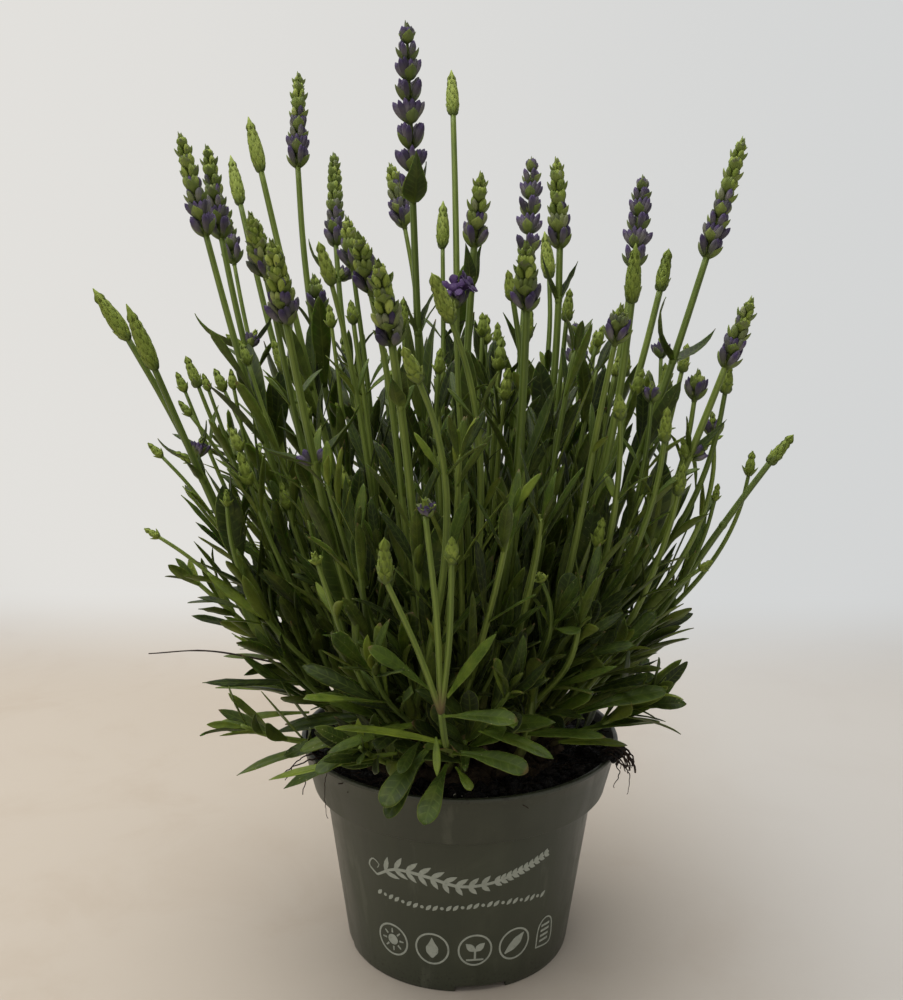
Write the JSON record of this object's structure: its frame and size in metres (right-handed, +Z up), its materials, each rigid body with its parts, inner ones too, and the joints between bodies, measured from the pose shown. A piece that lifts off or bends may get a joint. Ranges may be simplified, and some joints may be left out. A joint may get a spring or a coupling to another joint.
{
  "type": "potted lavender",
  "caption": "Lavender plant in a round tapered nursery pot: slender flower stalks with violet and green spikes rise from low leafy shoots and a woody crown in dark soil.",
  "frame": {"origin": "on the pot's axis, at the level the foot ring stands on", "axes": "+Z up along the pot's axis; +X to the right and -Y towards the viewer as the plant is seen from its printed front"},
  "size_m": [0.2689, 0.2242, 0.3653],
  "materials": {
    "pot_plastic": "satin, dark olive grey",
    "soil": "matt, moist, crumbly",
    "old_wood": "rough bark",
    "stalk": "matt, fine down",
    "leaf": "matt, fine down",
    "green_buds": "matt, downy",
    "violet_flowers": "matt, downy"
  },
  "bodies": {
    "root": {"flower_spike_01": "green_buds", "flower_spike_02": "green_buds", "flower_spike_03": "violet_flowers", "flower_spike_04": "violet_flowers", "flower_spike_05": "green_buds", "flower_spike_06": "green_buds", "flower_spike_07": "violet_flowers", "flower_spike_08": "violet_flowers", "flower_spike_09": "violet_flowers", "flower_spike_10": "violet_flowers", "flower_spike_11": "violet_flowers", "flower_spike_12": "green_buds", "flower_spike_13": "violet_flowers", "flower_spike_14": "violet_flowers", "flower_spike_15": "violet_flowers", "flower_spike_16": "violet_flowers", "flower_spike_17": "violet_flowers", "flower_spike_18": "green_buds", "flower_spike_19": "green_buds", "flower_spike_20": "violet_flowers", "flower_spike_21": "violet_flowers", "flower_spike_22": "green_buds", "flower_stalk_01": "stalk", "flower_stalk_02": "stalk", "flower_stalk_03": "stalk", "flower_stalk_04": "stalk", "flower_stalk_05": "stalk", "flower_stalk_06": "stalk", "flower_stalk_07": "stalk", "flower_stalk_08": "stalk", "flower_stalk_09": "stalk", "flower_stalk_10": "stalk", "flower_stalk_11": "stalk", "flower_stalk_12": "stalk", "flower_stalk_13": "stalk", "flower_stalk_14": "stalk", "flower_stalk_15": "stalk", "flower_stalk_16": "stalk", "flower_stalk_17": "stalk", "flower_stalk_18": "stalk", "flower_stalk_19": "stalk", "flower_stalk_20": "stalk", "flower_stalk_21": "stalk", "flower_stalk_22": "stalk", "leafy_shoot_back": "leaf", "leafy_shoot_back_left": "leaf", "leafy_shoot_back_right": "leaf", "leafy_shoot_front": "leaf", "leafy_shoot_front_left": "leaf", "leafy_shoot_front_right": "leaf", "leafy_shoot_left": "leaf", "leafy_shoot_left_back": "leaf", "leafy_shoot_left_front": "leaf", "leafy_shoot_left_high": "leaf", "leafy_shoot_right": "leaf", "leafy_shoot_right_back": "leaf", "leafy_shoot_right_front": "leaf", "pot": "pot_plastic", "potting_soil": "soil", "woody_crown": "old_wood"}
  },
  "joints": []
}
